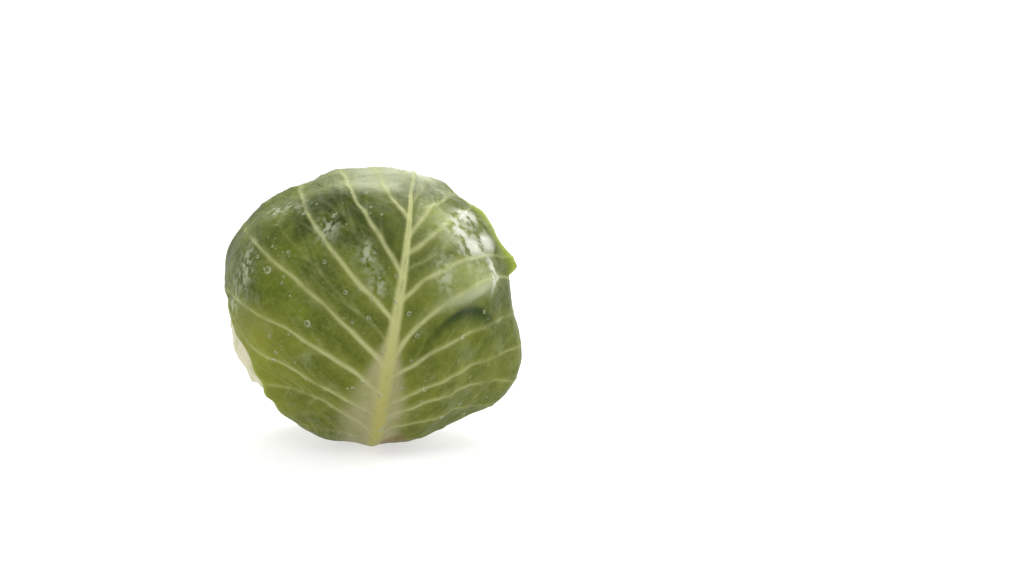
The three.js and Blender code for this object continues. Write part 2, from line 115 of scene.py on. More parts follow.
# Patches of colour on the front leaf, several of them painted light or shade rather than the leaf's own
# colour. Each entry of a list is x, y, half width, half height.
PATCHES = ("base_zone", "lip", "hollow", "shine", "strip", "sheen", "torn", "painted_light", "shade", "wax_and_glints",
           "top_bloom_and_sheen")
# The glare and the haze round it: painted wet highlights
GLARE = [(43, 35, 5, 8), (48, 26, 8, 5), (61, 29, 6, 5), (57, 13, 3, 7), (52, 45, 8, 5)]
GLARE_HAZE = [(48, 34, 16, 17)]
# Patches painted lighter where the light falls strongest: painted light
PAINTED_LIGHT = [(36, 38, 17, 14), (42, 11, 17, 9)]
# Spots of painted shade
SHADED = [(-50, 30, 10, 12), (19, -19, 5, 9), (7, 26, 6, 12)]
# Pale patches, part dusty bloom and part painted wet glints
WAX_AND_GLINTS = [(-20, 33, 5, 7), (-2, 19, 3, 6), (2, 8, 3, 6), (-58, 14, 6, 12), (-46, 46, 12, 5), (-66, -2, 4, 10),
       (30, 12, 4, 8)]
# How much of the painted highlight haze round the glare and of the painted shade spots shows
GLARE_HAZE_SHARE = 0.35
SHADED_SHARE = 0.7
# The whitening of the crown, partly its dusty bloom and partly painted sheen, which on the front leaf grows
# from left to right
CROWN_BLOOM_AND_SHEEN = {"from": 0.82, "span": 0.13, "left": 0.4, "right": 1.25, "x": -22, "length": 22}
# The band of painted shade under the crown
SHADE_BAND = dict(x=-9, y=41, length=32, height=15)
# The pale base beside the midrib: how far it reaches on either side, how it widens, and where it ends
BASE_ZONE = dict(left=24, right=16, least=2.5, wide_below=-2, widens_over=50, core=0.45, fade=0.75,
                 top=14, top_fade=30)
# The painted shadow in the hollow under the ridge, and the painted sheen along it
HOLLOW_SHADOW = dict(x=43, y=-3.5, curve=0.03, above=1.8, below=4.5, middle=42, length=17)
SHEEN = dict(above_ridge=1, width=2.6, x=44, length=15)
# Patches that end along straight lines. Of each line: its axis, where the patch starts to show, and
# over what length it comes in, with a minus sign where it lies on the lower side.
# The yellower strip along the lower left edge, the torn brown rim beside the stalk, and the top's whitening,
# part dusty bloom and part painted sheen
STRIP = [("x", -26, -24), ("y", 6, -24)]
TORN = [("x", 2, 3), ("x", 17, -4), ("y", -60, -5)]
TOP_BLOOM_AND_SHEEN = [("x", 2, 22), ("x", 60, -26), ("y", 52, 14)]
# Where the leaves under the front leaf's lower left edge have lost their green
BLEACHED_LOBE = [("x", 30, 24), ("y", 8, -26)]
BLEACHED_UNDER = [("y", 4, -20)]
BLEACHED_BELL = dict(height=0.75, x=-25, length=40)

# The picture
PHOTO_WIDTH = 1024
PHOTO_HEIGHT = 576
HEAD_PIXEL = (372.5, 292.0)
LENS_MM = 85.0
SENSOR_MM = 36.0
CAMERA_RISE_DEG = 10.0
CAMERA_DISTANCE = 1.425

# Drops of water on the front leaf: the large ones, by x and y on it and radius, and how many in all
LARGE_DROPS = [(-43, 13, 2.3), (-26, -8, 2.1), (-50, 19, 1.3), (-35, 21, 1.2), (-40, -24, 1.4),
               (-8, -35, 1.3), (-37, 8, 1.0), (-5, 6, 1.2), (18, -13, 1.5)]
DROP_COUNT = 150
DROP_RINGS = 6
DROP_SIDES = 14
# How far a drop's side curls in under it, as a share of a half sphere, and how far its foot reaches in
DROP_CURL = 1.25
DROP_DEPTH = 0.3
# How far out, in metres, the rays start that find the leaf under each drop
RAY_START = 0.2

# Widths and heights of the veins in millimetres, at their root and at their end
VEIN_WIDTH = (2.4, 1.0)
VEIN_GLOW_WIDTH = (5.5, 1.8)
TWIG_WIDTH = (1.0, 0.5)
TWIG_RISE = (0.45, 0.15)
# How far round the middle of a fine vein its points are looked for, and how side veins wander
TWIG_REACH = 24.0
VEIN_WANDER = dict(by=1.5, over=15.0)
# Unevenness of the blade in millimetres: how high, and over what length
PUCKER = dict(height=0.35, over=7.0)
GRAIN = dict(height=0.14, over=2.6)
LOW_WAVES = dict(height=1.1, over=16.0)
WRINKLES = dict(height=0.8, over=3.4, stretch=(0.35, 1.0, 1.0))
# The value of the noise at which a wrinkle stands level, and how far the blade is lifted for its dips
WRINKLE_MIDDLE = 0.25
BLADE_LIFT = 0.3

# Colours of a leaf that is fresh and green, and of one that has paled, with those of their spots. The bloom
# colour also whitens the crown as painted sheen.
FRESH = dict(
    dark=(0.032, 0.050, 0.003), dark_spot=(0.062, 0.082, 0.006), green=(0.060, 0.086, 0.004),
    green_spot=(0.110, 0.136, 0.009), olive=(0.084, 0.102, 0.004), olive_spot=(0.150, 0.162, 0.012),
    bloom_and_sheen=(0.33, 0.36, 0.23), glow=(0.24, 0.25, 0.05), vein=(0.41, 0.43, 0.20),
)
PALE = dict(
    dark=(0.30, 0.34, 0.08), dark_spot=(0.36, 0.40, 0.12), green=(0.33, 0.38, 0.10),
    green_spot=(0.42, 0.44, 0.15), olive=(0.40, 0.40, 0.12), olive_spot=(0.48, 0.46, 0.18),
    bloom_and_sheen=(0.60, 0.61, 0.44), glow=(0.52, 0.54, 0.22), vein=(0.62, 0.63, 0.38),
)
# Colours that are the same on both
# Some of these are painted light and shade: the shade, its spots and the hollow's shadow are painted shade;
# the lit patches, the sheen, the glare and the lip are painted light; the wax and the top's whitening are
# partly painted glints and sheen
TONES = dict(
    speck=(0.18, 0.23, 0.05), net=(0.20, 0.25, 0.06), strip=(0.23, 0.24, 0.03),
    shade=(0.016, 0.028, 0.001), shade_spot=(0.052, 0.070, 0.006), base_zone=(0.36, 0.33, 0.18),
    base_zone_spot=(0.28, 0.28, 0.13), rib=(0.44, 0.46, 0.20), low_rib=(0.34, 0.32, 0.09),
    hollow=(0.010, 0.026, 0.001), torn=(0.17, 0.095, 0.035), painted_light=(0.36, 0.41, 0.13),
    wax_and_glints=(0.46, 0.50, 0.36), top_bloom_and_sheen=(0.58, 0.62, 0.46), sheen=(0.44, 0.48, 0.32), lip=(0.28, 0.37, 0.03),
    rim=(0.30, 0.38, 0.07), bleached=(0.58, 0.54, 0.38), bleached_spot=(0.47, 0.46, 0.27),
    glare=(0.60, 0.61, 0.50),
)
# How much of each colour is laid on
STRENGTH = dict(
    olive=0.85, speck=0.20, net=0.13, fine_net=0.07, strip=0.60, glow=0.55, shade=0.75, twig=0.17,
    vein=0.9, base_zone=0.74, rib=0.85, hollow=0.95, torn=0.7, painted_light=0.46, wax_and_glints=0.55, top_bloom_and_sheen=0.42,
    sheen=0.62, lip=0.75, rim=0.5, glare=0.75,
)
# The cells of the net between the veins, and how far they are bent out of line
NET_MM = 5.5
FINE_NET_MM = 2.2
NET_BEND = 4.0
# The drops' clear middles, and their rims painted pale as a painted reflection
WATER = dict(clear=(0.20, 0.25, 0.07), rim=(0.62, 0.66, 0.46))
PITH = dict(
    middle=(0.62, 0.56, 0.36), outer=(0.50, 0.44, 0.22), grain=(0.40, 0.30, 0.14),
    dried=(0.26, 0.12, 0.045),
)

# The inner leaves in relief on the heart: their number, the azimuth of the first one's middle and the
# turn to the next, the elevation of all, how far each reaches, and the step at its edge in millimetres
INNER = dict(leaves=3, first=20, turn=137, rise=45, reach=62, step=0.7)
# A distance from the midrib, in its widths, at which no midrib shows
OFF_RIB = 9

# The stalk: how rough it and its cut face are, in millimetres, and the points round each of its rings
STALK_ROUGHNESS = 0.22
STALK_SIDES = 96

# The floor and the light, in metres and watts: the place, size and power of each soft lamp
FLOOR_SIZE = 60.0
AIM_HEIGHT = 0.08
LAMPS = [
    ("gloss_from_right", (0.80, 0.24, 0.55), 0.3, 3.0),
    ("back_top", (0.05, 0.6, 0.9), 0.6, 9.0),
    ("front_over_left", (-0.35, -0.75, 0.95), 0.5, 3.0),
]

# The fineness of the meshes
RIB_COLUMNS = 7
BLADE_COLUMNS = 70
ROWS_PER_INTERVAL = 16


def even_veins(count, lowest, highest):
    """Side veins fanned out evenly: y at the midrib, the end's bearing, bow and strength of each."""
    veins = []
    for i in range(count):
        t = i / (count - 1)
        veins.append((-60 + 110 * t ** 1.25, lowest + (highest - lowest) * t ** 0.85, VEIN_BOW, 0.8))
    return veins


# What the two innermost wrapper leaves have alike
ROUND_LEAF = dict(
    elevation=2, tip=90, rib_width=9.0, base_arc=58, waves=1.0, wave_count=17, flutter=1.2,
    right=[(-96, 84), (-60, 84), (-30, 84), (0, 84), (45, 86), (90, 90)],
    left=[(90, 90), (135, 86), (180, 84), (210, 84), (240, 84), (276, 84)],
    right_veins=even_veins(6, -58, 74), left_veins=even_veins(6, 238, 106),
)

# The wrapper leaves from the outside in
LEAVES = [
    dict(
        name="front_leaf", azimuth=-90, elevation=5, midrib=(10, 0.17, 0.0004), tip=72,
        rib_height=6.0, rib_width=12.0, base_arc=96, waves=1.2, wave_count=23, flutter=0.5, age=0.0,
        right=[(-96, 84), (-70, 84), (-45, 88), (-15, 94), (3, 88), (8, 77), (12, 81), (32, 81), (48, 88),
               (72, 112)],
        left=[(72, 112), (110, 110), (150, 104), (168, 97), (176, 86), (182, 73), (194, 65), (207, 56),
              (216, 57), (224, 61), (236, 71), (250, 80), (276, 84)],
        right_veins=[(-64, -62, 0.1, 0.4), (-55, -43, 0.1, 0.7), (-48, -30, 0.15, 0.8), (-42, -17, 0.1, 0.8),
                     (-30, -7, 0.15, 0.9), (-22, 7, 0.3, 1), (2, 15, 0.2, 1), (12, 28, 0.1, 0.4),
                     (20, 41, 0, 0.8), (27, 50, 0.1, 0.9), (46, 61, 0.05, 0.4)],
        left_veins=[(-66, 238, 0.1, 0.4), (-60, 216, 0.2, 0.8), (-49, 190, 0.05, 0.9), (-37, 177, 0.15, 1),
                    (-25, 153, 0.1, 1), (-16, 138, 0, 0.3), (-7, 122, -0.1, 1), (3, 114, -0.05, 0.25),
                    (11, 106, -0.05, 1), (36, 91, -0.1, 0.9), (56, 81, -0.05, 0.3)],
    ),
    dict(
        name="back_left_leaf", azimuth=132, elevation=4, midrib=(-3, -0.06, 0.0003), tip=93,
        rib_height=5.0, rib_width=10.0, base_arc=66, waves=1.6, wave_count=19, flutter=1.6, age=0.35,
        right=[(-96, 84), (-66, 82), (-30, 86), (0, 86), (45, 90), (93, 102)],
        left=[(93, 102), (140, 90), (180, 82), (215, 80), (245, 78), (276, 84)],
        right_veins=even_veins(7, -62, 72), left_veins=even_veins(7, 242, 112),
    ),
    dict(
        name="right_leaf", azimuth=-2, elevation=3, midrib=(2, 0.05, 0.0002), tip=86,
        rib_height=4.6, rib_width=9.5, base_arc=64, waves=1.6, wave_count=21, flutter=1.6, age=0.4,
        right=[(-96, 84), (-60, 78), (-30, 80), (0, 84), (45, 90), (86, 98)],
        left=[(86, 98), (135, 88), (180, 80), (215, 80), (245, 80), (276, 84)],
        right_veins=even_veins(7, -60, 66), left_veins=even_veins(7, 240, 106),
    ),
    dict(ROUND_LEAF, name="front_left_leaf", azimuth=-143, midrib=(0, 0.04, 0), rib_height=3.6, age=0.8),
    dict(ROUND_LEAF, name="back_leaf", azimuth=78, midrib=(0, -0.04, 0), rib_height=3.4, age=0.9),
]


# The head's forms

def ease(v):
    """0 up to 0 and 1 from 1 on, smooth between them."""
    t = np.clip(v, 0, 1)
    return t * t * (3 - 2 * t)


def bell(v):
    return np.exp(-v * v)


def blend(a, b, t):
    return a + (b - a) * t


def along(pairs, at):
    """Reads a smooth curve through (at, value) pairs, in rising order of at."""
    places, values = (np.array(column, float) for column in zip(*pairs))
    i = np.clip(np.searchsorted(places, at), 1, len(places) - 1)
    return blend(values[i - 1], values[i], ease((at - places[i - 1]) / (places[i] - places[i - 1])))


def towards(azimuth, elevation):
    """The direction at an azimuth and an elevation in degrees."""
    turn, tilt = math.radians(azimuth), math.radians(elevation)
    return np.array([math.cos(turn) * math.cos(tilt), math.sin(turn) * math.cos(tilt), math.sin(tilt)])


def angle_between(d, way):
    return np.degrees(np.arccos(np.clip(d @ way, -1, 1)))


def head_surface(d):
    """The finished head's distance from its centre in a direction."""
    out = np.hypot(d[..., 0] / HEAD_RADIUS, d[..., 1] / (HEAD_RADIUS * HEAD_DEPTH_SHARE))
    up = np.abs(d[..., 2]) / np.where(d[..., 2] > 0, CROWN_RISE, BASE_DROP)
    r = (out ** FULLNESS + up ** FULLNESS) ** (-1 / FULLNESS) * (1 - LEAN * d[..., 0])
    for azimuth, elevation, across, height in SWELLINGS:
        r = r + height * bell(angle_between(d, towards(azimuth, elevation)) / across)
    return r


for leaf in LEAVES:
    leaf["middle"] = towards(leaf["azimuth"], leaf["elevation"])
    leaf["across"] = towards(leaf["azimuth"] + 90, 0)
    leaf["up"] = np.cross(leaf["middle"], leaf["across"])


def direction_of(leaf, x, y):
    """The directions from the head's centre of points x, y on a leaf."""
    away = np.maximum(np.hypot(x, y), 1e-6)
    turn = np.radians(away)
    side = (np.sin(turn) / away)[..., None]
    d = np.cos(turn)[..., None] * leaf["middle"]
    return d + side * (x[..., None] * leaf["across"] + y[..., None] * leaf["up"])


def angles_of(leaf, d):
    """(x, y, angle from the leaf's middle) of directions."""
    away = angle_between(d, leaf["middle"])
    x, y = d @ leaf["across"], d @ leaf["up"]
    level = np.maximum(np.hypot(x, y), 1e-9)
    return away * x / level, away * y / level, away


def bearing_of(x, y):
    """Bearings of points x, y, from -90 to 270 degrees."""
    b = np.degrees(np.arctan2(y, x))
    return np.where(b < -90, b + 360, b)


def reach_of(leaf, bearing):
    """How far a leaf reaches from its middle at a bearing, in degrees."""
    return np.where(bearing < leaf["tip"], along(leaf["right"], bearing), along(leaf["left"], bearing))


def midrib_x(leaf, y):
    a, b, c = leaf["midrib"]
    return a + y * (b + y * c)


def rib_share(y):
    """The midrib's size at y, as a share of its size at the base."""
    return blend(0.16, 1, np.clip((80 - y) / 164, 0, 1) ** 2.2)


def rib_width_at(leaf, y):
    return leaf["rib_width"] * rib_share(y) + RIB_LEAST


def cover(leaf, d, margin, fall):
    """How far a leaf covers a direction: 1 on it, falling to 0 outside its edge."""
    x, y, away = angles_of(leaf, d)
    return 1 - ease((away - reach_of(leaf, bearing_of(x, y)) - margin) / fall)


def room(leaf, d):
    """The room that a leaf takes up under the next one."""
    x, y, _ = angles_of(leaf, d)
    off = np.abs(x - midrib_x(leaf, y)) * MM_PER_DEGREE
    rib = (leaf["rib_height"] * rib_share(y) + 0.4) * bell(off / (1.3 * rib_width_at(leaf, y) + 12))
    return cover(leaf, d, COVER_MARGIN, DRAPE) * (AIR + BLADE + RELIEF + rib)


def heart_surface(d):
    """What the innermost wrapper leaves lie on."""
    depth = sum((AIR + BLADE + RELIEF) * cover(leaf, d, -20, 50) for leaf in LEAVES)
    return head_surface(d) - depth - BASE_CROWDING * ease((-d[..., 2] - CROWDED_FROM) / CROWDED_SPAN)


def seat(k, d):
    """The surface that leaf number k lies on."""
    r = heart_surface(d) + AIR
    for leaf in LEAVES[k + 1:]:
        r = r + room(leaf, d)
    return r


def openness(k, d):
    """1 where no outer leaf is near, 0 under or close to one."""
    share = np.ones(d.shape[:-1])
    for leaf in LEAVES[:k]:
        share = share * (1 - cover(leaf, d, 3, 12))
    return share


def folds(k, x, y, d, r, rib):
    """A leaf's own folds, raised off what it lies on, as in the solids."""
    away, bearing = np.hypot(x, y), bearing_of(x, y)
    in_from_edge = reach_of(LEAVES[k], bearing) - away
    if k == 1:
        bulge = sum(height * bell((bearing - at) / BULGE["spread"]) for at, height in BULGES)
        return bulge * bell((away - BULGE["away"]) / BULGE["width"])
    if k != 0:
        return np.zeros_like(x)
    above = above_ridge(x, y)
    steepness = np.where(above > 0, RIDGE["above"], RIDGE["below"])
    ridge = RIDGE["height"] * bell(above / steepness) * bell((x - RIDGE["x"]) / RIDGE["length"])
    tip = LIP_TIP["height"] * bell((bearing - LIP_TIP["bearing"]) / LIP_TIP["spread"])
    lip = (LIP["height"] + tip) * lip_share(in_from_edge, bearing)
    lobe = LOBE["height"] * bell((away - LOBE["away"]) / LOBE["width"])
    lobe = lobe * bell((bearing - LOBE["bearing"]) / LOBE["spread"])
    sharpness = np.where(x > CREASE["x"], CREASE["right"], CREASE["left"])
    crease = CREASE["height"] * bell((x - CREASE["x"]) / sharpness)
    crease = crease * bell((y - CREASE["y"]) / CREASE["length"])
    above_foot = np.maximum(BASE_DROP + (r + BLADE + rib) * d[..., 2] - FOOT_RISE, 0)
    collar = above_foot * (1 - ease((angle_between(d, towards(0, -90)) - COLLAR["full"]) / COLLAR["fade"]))
    return ridge + lip + lobe + crease + collar


def lip_share(in_from_edge, bearing):
    """1 on the crest of the front leaf's turned-up lip."""
    upright = ease(1 - in_from_edge / LIP["width"]) * ease((bearing - LIP["start"]) / LIP["rise"])
    return upright * (1 - ease((bearing - LIP["end"]) / LIP["fall"]))


def above_ridge(x, y):
    return y - RIDGE["y"] - RIDGE["slope"] * (x - RIDGE["x"])


def spread(x, y, patches):
    """1 in the middle of each patch, fading out round it."""
    return np.max([bell((x - px) / wide) * bell((y - py) / high) for px, py, wide, high in patches], axis=0)


def within(x, y, lines):
    """1 well inside a patch that ends along straight lines, and 0 outside it."""
    at = {"x": x, "y": y}
    return math.prod(ease((at[axis] - start) / length) for axis, start, length in lines)


def base_zone_of(leaf, x, y, rib_off):
    side = np.where(x < midrib_x(leaf, y), BASE_ZONE["left"], BASE_ZONE["right"])
    reach = side * ease((BASE_ZONE["wide_below"] - y) / BASE_ZONE["widens_over"]) + BASE_ZONE["least"]
    inside = 1 - ease((rib_off / reach - BASE_ZONE["core"]) / BASE_ZONE["fade"])
    return inside * ease((BASE_ZONE["top"] - y) / BASE_ZONE["top_fade"])


# The painted shadow in the hollow under the ridge
def hollow_of(x, y):
    under = y - HOLLOW_SHADOW["y"] + HOLLOW_SHADOW["curve"] * (x - HOLLOW_SHADOW["x"]) ** 2
    depth = bell(under / np.where(under > 0, HOLLOW_SHADOW["above"], HOLLOW_SHADOW["below"]))
    return depth * bell(((x - HOLLOW_SHADOW["middle"]) / HOLLOW_SHADOW["length"]) ** 2)


def shade_of(x, y):
    band = bell(((x - SHADE_BAND["x"]) / SHADE_BAND["length"]) ** 2)
    band = band * bell(((y - SHADE_BAND["y"]) / SHADE_BAND["height"]) ** 2)
    return np.maximum(band, SHADED_SHARE * spread(x, y, SHADED))


def patches_of(k, x, y, rib_off):
    """Named patches of a leaf where its colour differs, from 0 to 1, several of them painted light or shade.
    Only the front leaf has any.
    """
    if k != 0:
        return dict.fromkeys(PATCHES, np.zeros_like(x))
    leaf = LEAVES[k]
    bearing = bearing_of(x, y)
    in_from_edge = reach_of(leaf, bearing) - np.hypot(x, y)
    sheen = bell((above_ridge(x, y) - SHEEN["above_ridge"]) / SHEEN["width"])
    values = (
        base_zone_of(leaf, x, y, rib_off),
        lip_share(in_from_edge, bearing),
        hollow_of(x, y),
        np.maximum(GLARE_HAZE_SHARE * spread(x, y, GLARE_HAZE), spread(x, y, GLARE)),
        within(x, y, STRIP),
        sheen * bell((x - SHEEN["x"]) / SHEEN["length"]),
        within(x, y, TORN),
        spread(x, y, PAINTED_LIGHT),
        shade_of(x, y),
        spread(x, y, WAX_AND_GLINTS),
        within(x, y, TOP_BLOOM_AND_SHEEN),
    )
    return dict(zip(PATCHES, values))


def bleached(k, x, y):
    """How far a leaf has lost its green, from 0 to 1."""
    if LEAVES[k]["name"] == "back_left_leaf":
        return within(x, y, BLEACHED_LOBE)
    if LEAVES[k]["name"] == "front_left_leaf":
        across = bell((x - BLEACHED_BELL["x"]) / BLEACHED_BELL["length"])
        return BLEACHED_BELL["height"] * across * within(x, y, BLEACHED_UNDER)
    return np.zeros_like(x)


def beside_stalk(k, azimuth):
    """The directions in which leaf number k meets the stalk, at azimuths in degrees."""
    c, s = np.cos(np.radians(azimuth)), np.sin(np.radians(azimuth))
    polar = np.full_like(c, 0.2)
    for _ in range(6):
        d = np.stack([np.sin(polar) * c, np.sin(polar) * s, -np.cos(polar)], axis=-1)
        polar = np.arcsin((STALK_RADIUS + STALK_GAP) / seat(k, d))
    return d


class Fan:
    """One side of a leaf, as the curves of its side veins with the blade between them."""

    def __init__(self, k, side):
        self.k, self.side, self.leaf = k, side, LEAVES[k]
        leaf = self.leaf
        self.veins = leaf["right_veins"] if side > 0 else leaf["left_veins"]
        corner = self.curve(0, np.array([1.0]))
        self.ends = [float(bearing_of(*corner)[0])]
        self.ends += [bearing for _, bearing, _, _ in self.veins] + [leaf["tip"]]

    def curve(self, i, s):
        """Points x, y at shares s of curve i: the base rim, a side vein, or the midrib's end."""
        leaf = self.leaf
        if i == 0:
            d = beside_stalk(self.k, leaf["azimuth"] + self.side * leaf["base_arc"] * s)
            return angles_of(leaf, d)[:2]
        if i > len(self.veins):
            y = blend(TIP_FROM, reach_of(leaf, leaf["tip"]) * math.sin(math.radians(leaf["tip"])), s)
            return midrib_x(leaf, y), y
        y0, bearing, bow, _ = self.veins[i - 1]
        x0 = midrib_x(leaf, y0)
        reach, turn = float(reach_of(leaf, bearing)), math.radians(bearing)
        x1, y1 = reach * math.cos(turn), reach * math.sin(turn)
        bend = bow * self.side
        xm, ym = (x0 + x1) / 2 - bend * (y1 - y0), (y0 + y1) / 2 + bend * (x1 - x0)
        a, b, c = (1 - s) ** 2, 2 * s * (1 - s), s * s
        return a * x0 + b * xm + c * x1, a * y0 + b * ym + c * y1

    def layout(self, step, s):
        """Points x, y of a row: step counts side veins from the base, s runs from midrib to edge."""
        leaf = self.leaf
        i = min(int(step), len(self.veins))
        f = step - i
        one = np.array([1.0])
        bearing = blend(self.ends[i], self.ends[i + 1], f)
        at_base = 1 - f if i == 0 else 0
        turns = math.radians(bearing) * leaf["wave_count"]
        wave = leaf["waves"] * (0.55 * math.sin(turns) + 0.3 * math.sin(1.7 * turns + 1) - 0.35)
        reach = float(reach_of(leaf, bearing)) + wave * (1 - at_base)
        edge = reach * math.cos(math.radians(bearing)), reach * math.sin(math.radians(bearing))
        share = s * s * (1 - at_base ** 3)
        low, high = self.curve(i, s), self.curve(i + 1, s)
        low_end, high_end = self.curve(i, one), self.curve(i + 1, one)
        return [blend(low[n], high[n], f) + share * (edge[n] - blend(low_end[n][0], high_end[n][0], f))
                for n in (0, 1)]

    def shares(self, step):
        """Where a row's columns stand: on the rib, and then evenly to the edge."""
        x, y = self.layout(step, np.array([0.0, 1.0]))
        span = max(math.hypot(x[1] - x[0], (y[1] - y[0]) * 0.4) * MM_PER_DEGREE, 1)
        width = float(rib_width_at(self.leaf, y[0]))
        foot = min(max(width / span, 0.05), 0.3)
        on_rib = np.linspace(0, foot, RIB_COLUMNS + 1)[1:]
        return np.concatenate([on_rib, np.linspace(foot, 1, BLADE_COLUMNS + 1)[1:]])


def skin_points(leaf, x, y):
    """Points of a leaf's layout on the plain head, in millimetres, for measuring along the leaf."""
    d = direction_of(leaf, x, y)
    return d * head_surface(d)[..., None]


def measure_from(points, line):
    """(distance, share of the way along) from points to a line of points."""
    best = np.full(len(points), 1e9)
    place = np.zeros(len(points))
    for i in range(len(line) - 1):
        step = line[i + 1] - line[i]
        t = np.clip((points - line[i]) @ step / max(step @ step, 1e-9), 0, 1)
        gap = np.linalg.norm(points - line[i] - t[:, None] * step, axis=1)
        near = gap < best
        best = np.where(near, gap, best)
        place = np.where(near, (i + t) / (len(line) - 1), place)
    return best, place


def twig_lines(leaf, fans, seed):
    """The fine veins that branch off the side veins, as lines of x, y points."""
    draw = np.random.default_rng(seed)
    twigs = []
    for fan in fans:
        for i in range(1, len(fan.veins) + 1):
            for at in np.arange(0.16, 0.93, 0.13):
                at = at + draw.uniform(-0.04, 0.04)
                for lean in (-1, 1):
                    length = draw.uniform(0.09, 0.2)
                    s = np.array([at, at + length * 0.5, min(at + length, 0.99)])
                    f = lean * np.array([0.0, draw.uniform(0.22, 0.3), draw.uniform(0.42, 0.62)])
                    xy = [fan.layout(min(max(i + shift, 0.3), len(fan.veins) + 0.8), np.array([share]))
                          for shift, share in zip(f, s)]
                    twigs.append(np.array([[float(p[0][0]), float(p[1][0])] for p in xy]))
    return twigs


def smooth_line(xy, count=7):
    """A curve through three points."""
    t = np.linspace(0, 1, count)[:, None]
    bend = 2 * xy[1] - (xy[0] + xy[2]) / 2
    return (1 - t) ** 2 * xy[0] + 2 * t * (1 - t) * bend + t * t * xy[2]


def fine_noise(points, size):
    """A smooth random value from -1 to 1 at each point, with lumps of that size in millimetres."""
    return np.array([noise.noise(Vector(p) / size) for p in points])


def new_mesh(name, points, faces, marks=None):
    mesh = bpy.data.meshes.new(name)
    mesh.from_pydata([tuple(p) for p in np.asarray(points) * MM], [], faces)
    for mark, values in (marks or {}).items():
        mesh.attributes.new(mark, "FLOAT", "POINT").data.foreach_set("value", np.asarray(values, np.float32))
    mesh.shade_smooth()
    mesh.validate()
    piece = bpy.data.objects.new(name, mesh)
    bpy.context.scene.collection.objects.link(piece)
    return piece


def lay_out(leaf, fans):
    """A leaf's grid: x, y and share of the way to the edge of its points, and both halves of each row."""
    last = len(fans[0].veins) + 1
    columns = RIB_COLUMNS + BLADE_COLUMNS
    xs, ys, shares, rows = [], [], [], []
    count = 0
    for n in range(last * ROWS_PER_INTERVAL + 1):
        step = n / ROWS_PER_INTERVAL
        starts = [fan.layout(step, np.array([0.0])) for fan in fans]
        y0 = (starts[0][1][0] + starts[1][1][0]) / 2
        xs.append([starts[0][0][0] if n == 0 else midrib_x(leaf, y0)])
        ys.append([y0])
        shares.append([0.0])
        middle = count
        count += 1
        halves = []
        for fan in fans[:1] if step == last else fans:
            s = fan.shares(step)
            x, y = fan.layout(step, s)
            xs.append(x)
            ys.append(y)
            shares.append(s)
            halves.append([middle, *range(count, count + columns)])
            count += columns
        rows.append((halves[0], halves[-1]))
    x, y, s = (np.concatenate(parts) for parts in (xs, ys, shares))
    return x, y, s, rows


def shell_faces(rows, count):
    """Faces of a closed shell, whose inner points come count places after its outer ones."""
    columns = len(rows[0][0]) - 1
    faces = []

    def quad(a, b, c, e):
        faces.append((a, b, c, e))
        faces.append((count + e, count + c, count + b, count + a))

    def rim(a, b):
        faces.append((a, count + a, count + b, b))

    for (right0, left0), (right1, left1) in zip(rows, rows[1:]):
        for j in range(columns):
            quad(right0[j], right0[j + 1], right1[j + 1], right1[j])
            quad(left0[j + 1], left0[j], left1[j], left1[j + 1])
        rim(right0[-1], right1[-1])
        rim(left1[-1], left0[-1])
    right0, left0 = rows[0]
    for j in range(columns):
        rim(right0[j], right0[j + 1])
        rim(left0[j + 1], left0[j])
    return faces


def side_veins(leaf, fans, on_skin):
    """The side veins' height, paleness and glow at points on the plain head, and how far off they are."""
    # The veins wander a little, and are measured from shifted points for it.
    over = VEIN_WANDER["over"]
    wander = np.stack([fine_noise(on_skin + shift, over) for shift in (0.0, 40.0, 80.0)], axis=-1)
    on_veins = on_skin + VEIN_WANDER["by"] * wander
    away = np.full(len(on_skin), 99.0)
    rise, paint, glow = (np.zeros(len(on_skin)) for _ in range(3))
    for fan in fans:
        for i, (_, _, _, strength) in enumerate(fan.veins, start=1):
            line = skin_points(leaf, *fan.curve(i, np.linspace(0, 1, 20)))
            gap, place = measure_from(on_veins, line)
            width = blend(*VEIN_WIDTH, place)
            fading = strength * blend(1, 0.6, place)
            rise = np.maximum(rise, blend(VEIN_ROOT, VEIN_END, place) * bell(gap / width) * strength)
            paint = np.maximum(paint, fading * bell(gap / (width * 0.7)))
            glow = np.maximum(glow, fading * np.exp(-gap / blend(*VEIN_GLOW_WIDTH, place)))
            away = np.where(gap < away, blend(away, gap, 0.3 + 0.7 * strength), away)
    return rise, paint, glow, away


def twigs_on(leaf, fans, seed, on_skin):
    """Height and paleness of the fine veins at points on the plain head."""
    rise, paint = np.zeros(len(on_skin)), np.zeros(len(on_skin))
    for xy in twig_lines(leaf, fans, seed):
        line_xy = smooth_line(xy)
        line = skin_points(leaf, line_xy[:, 0], line_xy[:, 1])
        near = np.linalg.norm(on_skin - line[3], axis=1) < TWIG_REACH
        gap, place = measure_from(on_skin[near], line)
        on_twig = bell(gap / blend(*TWIG_WIDTH, place))
        rise[near] = np.maximum(rise[near], blend(*TWIG_RISE, place) * on_twig)
        paint[near] = np.maximum(paint[near], on_twig * blend(0.8, 0.3, place))
    return rise, paint


def blade_relief(on_skin, d, vein_gap, crown):
    """How far the blade swells between its veins and is puckered, and its wrinkles over the crown."""
    puckers = PUCKER["height"] * fine_noise(on_skin, PUCKER["over"])
    swell = PUFF * ease(vein_gap / 7) + puckers * ease(vein_gap / 4)
    swell = swell + GRAIN["height"] * fine_noise(on_skin, GRAIN["over"])
    low = ease((-0.5 - d[:, 2]) / 0.2)
    swell = swell + LOW_WAVES["height"] * fine_noise(on_skin, LOW_WAVES["over"]) * low
    wrinkle = np.abs(fine_noise(on_skin * np.array(WRINKLES["stretch"]), WRINKLES["over"]))
    return swell, crown * WRINKLES["height"] * (WRINKLE_MIDDLE - wrinkle)


